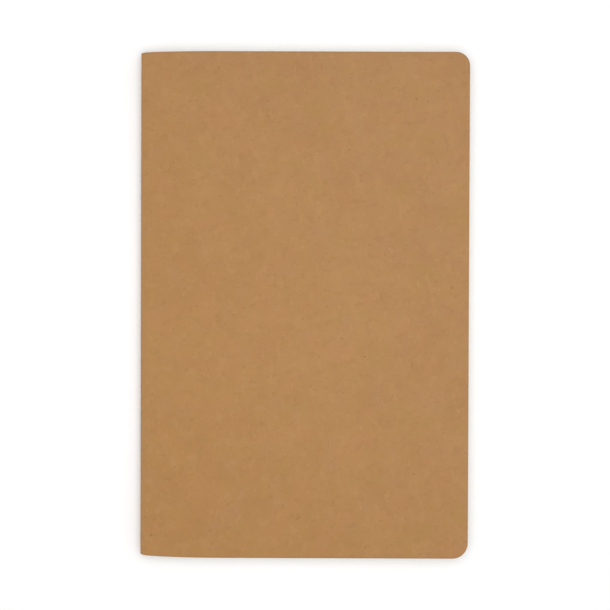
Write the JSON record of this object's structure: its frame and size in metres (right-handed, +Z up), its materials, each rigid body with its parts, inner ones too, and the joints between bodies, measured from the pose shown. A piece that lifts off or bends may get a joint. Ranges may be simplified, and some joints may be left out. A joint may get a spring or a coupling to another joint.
{
  "type": "pocket notebook",
  "caption": "Slim pocket notebook: a plain kraft card cover folded round nested sheets of ruled paper, stapled through the fold, with small rounded corners at the fore edge.",
  "frame": {"origin": "middle of the closed notebook's footprint, on the surface it lies on", "axes": "+X from the spine towards the fore edge, +Y towards the head, +Z up out of the front cover"},
  "size_m": [0.091, 0.14, 0.0057],
  "materials": {
    "kraft_cover": "matte",
    "page_paper": "matte",
    "staple_wire": "satin"
  },
  "bodies": {
    "back_cover": {"back_cover": "kraft_cover", "cover_spine": "kraft_cover"},
    "staple_head": {"staple_head": "staple_wire"},
    "staple_tail": {"staple_tail": "staple_wire"},
    "back_leaf_01": {"sheet_01_back": "page_paper", "sheet_01_fold": "page_paper"},
    "back_leaf_02": {"sheet_02_back": "page_paper", "sheet_02_fold": "page_paper"},
    "back_leaf_03": {"sheet_03_back": "page_paper", "sheet_03_fold": "page_paper"},
    "back_leaf_04": {"sheet_04_back": "page_paper", "sheet_04_fold": "page_paper"},
    "back_leaf_05": {"sheet_05_back": "page_paper", "sheet_05_fold": "page_paper"},
    "back_leaf_06": {"sheet_06_back": "page_paper", "sheet_06_fold": "page_paper"},
    "back_leaf_07": {"sheet_07_back": "page_paper", "sheet_07_fold": "page_paper"},
    "back_leaf_08": {"sheet_08_back": "page_paper", "sheet_08_fold": "page_paper"},
    "back_leaf_09": {"sheet_09_back": "page_paper", "sheet_09_fold": "page_paper"},
    "back_leaf_10": {"sheet_10_back": "page_paper", "sheet_10_fold": "page_paper"},
    "back_leaf_11": {"sheet_11_back": "page_paper", "sheet_11_fold": "page_paper"},
    "back_leaf_12": {"sheet_12_back": "page_paper", "sheet_12_fold": "page_paper"},
    "back_leaf_13": {"sheet_13_back": "page_paper", "sheet_13_fold": "page_paper"},
    "back_leaf_14": {"sheet_14_back": "page_paper", "sheet_14_fold": "page_paper"},
    "back_leaf_15": {"sheet_15_back": "page_paper", "sheet_15_fold": "page_paper"},
    "back_leaf_16": {"sheet_16_back": "page_paper", "sheet_16_fold": "page_paper"},
    "front_leaf_01": {"sheet_01_front": "page_paper"},
    "front_leaf_02": {"sheet_02_front": "page_paper"},
    "front_leaf_03": {"sheet_03_front": "page_paper"},
    "front_leaf_04": {"sheet_04_front": "page_paper"},
    "front_leaf_05": {"sheet_05_front": "page_paper"},
    "front_leaf_06": {"sheet_06_front": "page_paper"},
    "front_leaf_07": {"sheet_07_front": "page_paper"},
    "front_leaf_08": {"sheet_08_front": "page_paper"},
    "front_leaf_09": {"sheet_09_front": "page_paper"},
    "front_leaf_10": {"sheet_10_front": "page_paper"},
    "front_leaf_11": {"sheet_11_front": "page_paper"},
    "front_leaf_12": {"sheet_12_front": "page_paper"},
    "front_leaf_13": {"sheet_13_front": "page_paper"},
    "front_leaf_14": {"sheet_14_front": "page_paper"},
    "front_leaf_15": {"sheet_15_front": "page_paper"},
    "front_leaf_16": {"sheet_16_front": "page_paper"},
    "front_cover": {"front_cover": "kraft_cover"}
  },
  "joints": [
    {"name": "notebook_open", "type": "hinge", "parent": "back_leaf_01", "child": "front_leaf_01", "pos_m": [-0.04326, 0, 0.00284], "axis": [0, -1, 0], "range_deg": [0, 178], "deforming": ["cover_spine", "sheet_01_fold", "sheet_02_fold", "sheet_03_fold", "sheet_04_fold", "sheet_05_fold", "sheet_06_fold", "sheet_07_fold", "sheet_08_fold", "sheet_09_fold", "sheet_10_fold", "sheet_11_fold", "sheet_12_fold", "sheet_13_fold", "sheet_14_fold", "sheet_15_fold", "sheet_16_fold"]},
    {"name": "front_cover_open", "type": "hinge", "parent": "front_leaf_01", "child": "front_cover", "pos_m": [-0.03726, 0, 0.00568], "axis": [0, -1, 0], "range_deg": [0, 178]},
    {"name": "back_leaf_01_lift", "type": "hinge", "parent": "back_cover", "child": "back_leaf_01", "pos_m": [-0.04326, 0, 0.00284], "axis": [0, -1, 0], "range_deg": [0, 0.31]},
    {"name": "back_leaf_02_lift", "type": "hinge", "parent": "back_cover", "child": "back_leaf_02", "pos_m": [-0.04326, 0, 0.00284], "axis": [0, -1, 0], "range_deg": [0, 0.66]},
    {"name": "back_leaf_03_lift", "type": "hinge", "parent": "back_cover", "child": "back_leaf_03", "pos_m": [-0.04326, 0, 0.00284], "axis": [0, -1, 0], "range_deg": [0, 1.01]},
    {"name": "back_leaf_04_lift", "type": "hinge", "parent": "back_cover", "child": "back_leaf_04", "pos_m": [-0.04326, 0, 0.00284], "axis": [0, -1, 0], "range_deg": [0, 1.36]},
    {"name": "back_leaf_05_lift", "type": "hinge", "parent": "back_cover", "child": "back_leaf_05", "pos_m": [-0.04326, 0, 0.00284], "axis": [0, -1, 0], "range_deg": [0, 1.71]},
    {"name": "back_leaf_06_lift", "type": "hinge", "parent": "back_cover", "child": "back_leaf_06", "pos_m": [-0.04326, 0, 0.00284], "axis": [0, -1, 0], "range_deg": [0, 2.06]},
    {"name": "back_leaf_07_lift", "type": "hinge", "parent": "back_cover", "child": "back_leaf_07", "pos_m": [-0.04326, 0, 0.00284], "axis": [0, -1, 0], "range_deg": [0, 2.41]},
    {"name": "back_leaf_08_lift", "type": "hinge", "parent": "back_cover", "child": "back_leaf_08", "pos_m": [-0.04326, 0, 0.00284], "axis": [0, -1, 0], "range_deg": [0, 2.76]},
    {"name": "back_leaf_09_lift", "type": "hinge", "parent": "back_cover", "child": "back_leaf_09", "pos_m": [-0.04326, 0, 0.00284], "axis": [0, -1, 0], "range_deg": [0, 3.11]},
    {"name": "back_leaf_10_lift", "type": "hinge", "parent": "back_cover", "child": "back_leaf_10", "pos_m": [-0.04326, 0, 0.00284], "axis": [0, -1, 0], "range_deg": [0, 3.46]},
    {"name": "back_leaf_11_lift", "type": "hinge", "parent": "back_cover", "child": "back_leaf_11", "pos_m": [-0.04326, 0, 0.00284], "axis": [0, -1, 0], "range_deg": [0, 3.81]},
    {"name": "back_leaf_12_lift", "type": "hinge", "parent": "back_cover", "child": "back_leaf_12", "pos_m": [-0.04326, 0, 0.00284], "axis": [0, -1, 0], "range_deg": [0, 4.16]},
    {"name": "back_leaf_13_lift", "type": "hinge", "parent": "back_cover", "child": "back_leaf_13", "pos_m": [-0.04326, 0, 0.00284], "axis": [0, -1, 0], "range_deg": [0, 4.51]},
    {"name": "back_leaf_14_lift", "type": "hinge", "parent": "back_cover", "child": "back_leaf_14", "pos_m": [-0.04326, 0, 0.00284], "axis": [0, -1, 0], "range_deg": [0, 4.86]},
    {"name": "back_leaf_15_lift", "type": "hinge", "parent": "back_cover", "child": "back_leaf_15", "pos_m": [-0.04326, 0, 0.00284], "axis": [0, -1, 0], "range_deg": [0, 5.21]},
    {"name": "back_leaf_16_lift", "type": "hinge", "parent": "back_cover", "child": "back_leaf_16", "pos_m": [-0.04326, 0, 0.00284], "axis": [0, -1, 0], "range_deg": [0, 5.56]},
    {"name": "front_leaf_02_turn", "type": "hinge", "parent": "back_leaf_02", "child": "front_leaf_02", "pos_m": [-0.04326, 0, 0.00284], "axis": [0, -1, 0], "range_deg": [0, 177.26]},
    {"name": "front_leaf_03_turn", "type": "hinge", "parent": "back_leaf_03", "child": "front_leaf_03", "pos_m": [-0.04326, 0, 0.00284], "axis": [0, -1, 0], "range_deg": [0, 176.51]},
    {"name": "front_leaf_04_turn", "type": "hinge", "parent": "back_leaf_04", "child": "front_leaf_04", "pos_m": [-0.04326, 0, 0.00284], "axis": [0, -1, 0], "range_deg": [0, 175.76]},
    {"name": "front_leaf_05_turn", "type": "hinge", "parent": "back_leaf_05", "child": "front_leaf_05", "pos_m": [-0.04326, 0, 0.00284], "axis": [0, -1, 0], "range_deg": [0, 175.01]},
    {"name": "front_leaf_06_turn", "type": "hinge", "parent": "back_leaf_06", "child": "front_leaf_06", "pos_m": [-0.04326, 0, 0.00284], "axis": [0, -1, 0], "range_deg": [0, 174.26]},
    {"name": "front_leaf_07_turn", "type": "hinge", "parent": "back_leaf_07", "child": "front_leaf_07", "pos_m": [-0.04326, 0, 0.00284], "axis": [0, -1, 0], "range_deg": [0, 173.51]},
    {"name": "front_leaf_08_turn", "type": "hinge", "parent": "back_leaf_08", "child": "front_leaf_08", "pos_m": [-0.04326, 0, 0.00284], "axis": [0, -1, 0], "range_deg": [0, 172.76]},
    {"name": "front_leaf_09_turn", "type": "hinge", "parent": "back_leaf_09", "child": "front_leaf_09", "pos_m": [-0.04326, 0, 0.00284], "axis": [0, -1, 0], "range_deg": [0, 172.01]},
    {"name": "front_leaf_10_turn", "type": "hinge", "parent": "back_leaf_10", "child": "front_leaf_10", "pos_m": [-0.04326, 0, 0.00284], "axis": [0, -1, 0], "range_deg": [0, 171.26]},
    {"name": "front_leaf_11_turn", "type": "hinge", "parent": "back_leaf_11", "child": "front_leaf_11", "pos_m": [-0.04326, 0, 0.00284], "axis": [0, -1, 0], "range_deg": [0, 170.51]},
    {"name": "front_leaf_12_turn", "type": "hinge", "parent": "back_leaf_12", "child": "front_leaf_12", "pos_m": [-0.04326, 0, 0.00284], "axis": [0, -1, 0], "range_deg": [0, 169.76]},
    {"name": "front_leaf_13_turn", "type": "hinge", "parent": "back_leaf_13", "child": "front_leaf_13", "pos_m": [-0.04326, 0, 0.00284], "axis": [0, -1, 0], "range_deg": [0, 169.01]},
    {"name": "front_leaf_14_turn", "type": "hinge", "parent": "back_leaf_14", "child": "front_leaf_14", "pos_m": [-0.04326, 0, 0.00284], "axis": [0, -1, 0], "range_deg": [0, 168.26]},
    {"name": "front_leaf_15_turn", "type": "hinge", "parent": "back_leaf_15", "child": "front_leaf_15", "pos_m": [-0.04326, 0, 0.00284], "axis": [0, -1, 0], "range_deg": [0, 167.51]},
    {"name": "front_leaf_16_turn", "type": "hinge", "parent": "back_leaf_16", "child": "front_leaf_16", "pos_m": [-0.04326, 0, 0.00284], "axis": [0, -1, 0], "range_deg": [0, 166.76]},
    {"name": "staple_head_turn", "type": "hinge", "parent": "back_cover", "child": "staple_head", "pos_m": [-0.04326, 0, 0.00284], "axis": [0, -1, 0], "range_deg": [0, 89.01]},
    {"name": "staple_tail_turn", "type": "hinge", "parent": "back_cover", "child": "staple_tail", "pos_m": [-0.04326, 0, 0.00284], "axis": [0, -1, 0], "range_deg": [0, 89.01]}
  ],
  "couplings": [
    {"joint": "back_leaf_01_lift", "follows": "notebook_open", "ratio": 0.001685},
    {"joint": "back_leaf_02_lift", "follows": "notebook_open", "ratio": 0.003652},
    {"joint": "back_leaf_03_lift", "follows": "notebook_open", "ratio": 0.005618},
    {"joint": "back_leaf_04_lift", "follows": "notebook_open", "ratio": 0.007584},
    {"joint": "back_leaf_05_lift", "follows": "notebook_open", "ratio": 0.009551},
    {"joint": "back_leaf_06_lift", "follows": "notebook_open", "ratio": 0.011517},
    {"joint": "back_leaf_07_lift", "follows": "notebook_open", "ratio": 0.013483},
    {"joint": "back_leaf_08_lift", "follows": "notebook_open", "ratio": 0.015449},
    {"joint": "back_leaf_09_lift", "follows": "notebook_open", "ratio": 0.017416},
    {"joint": "back_leaf_10_lift", "follows": "notebook_open", "ratio": 0.019382},
    {"joint": "back_leaf_11_lift", "follows": "notebook_open", "ratio": 0.021348},
    {"joint": "back_leaf_12_lift", "follows": "notebook_open", "ratio": 0.023315},
    {"joint": "back_leaf_13_lift", "follows": "notebook_open", "ratio": 0.025281},
    {"joint": "back_leaf_14_lift", "follows": "notebook_open", "ratio": 0.027247},
    {"joint": "back_leaf_15_lift", "follows": "notebook_open", "ratio": 0.029213},
    {"joint": "back_leaf_16_lift", "follows": "notebook_open", "ratio": 0.03118},
    {"joint": "front_leaf_02_turn", "follows": "notebook_open", "ratio": 0.99579},
    {"joint": "front_leaf_03_turn", "follows": "notebook_open", "ratio": 0.99157},
    {"joint": "front_leaf_04_turn", "follows": "notebook_open", "ratio": 0.98736},
    {"joint": "front_leaf_05_turn", "follows": "notebook_open", "ratio": 0.98315},
    {"joint": "front_leaf_06_turn", "follows": "notebook_open", "ratio": 0.97893},
    {"joint": "front_leaf_07_turn", "follows": "notebook_open", "ratio": 0.97472},
    {"joint": "front_leaf_08_turn", "follows": "notebook_open", "ratio": 0.97051},
    {"joint": "front_leaf_09_turn", "follows": "notebook_open", "ratio": 0.96629},
    {"joint": "front_leaf_10_turn", "follows": "notebook_open", "ratio": 0.96208},
    {"joint": "front_leaf_11_turn", "follows": "notebook_open", "ratio": 0.95786},
    {"joint": "front_leaf_12_turn", "follows": "notebook_open", "ratio": 0.95365},
    {"joint": "front_leaf_13_turn", "follows": "notebook_open", "ratio": 0.94944},
    {"joint": "front_leaf_14_turn", "follows": "notebook_open", "ratio": 0.94522},
    {"joint": "front_leaf_15_turn", "follows": "notebook_open", "ratio": 0.94101},
    {"joint": "front_leaf_16_turn", "follows": "notebook_open", "ratio": 0.9368},
    {"joint": "staple_head_turn", "follows": "notebook_open", "ratio": 0.5},
    {"joint": "staple_tail_turn", "follows": "notebook_open", "ratio": 0.5}
  ]
}
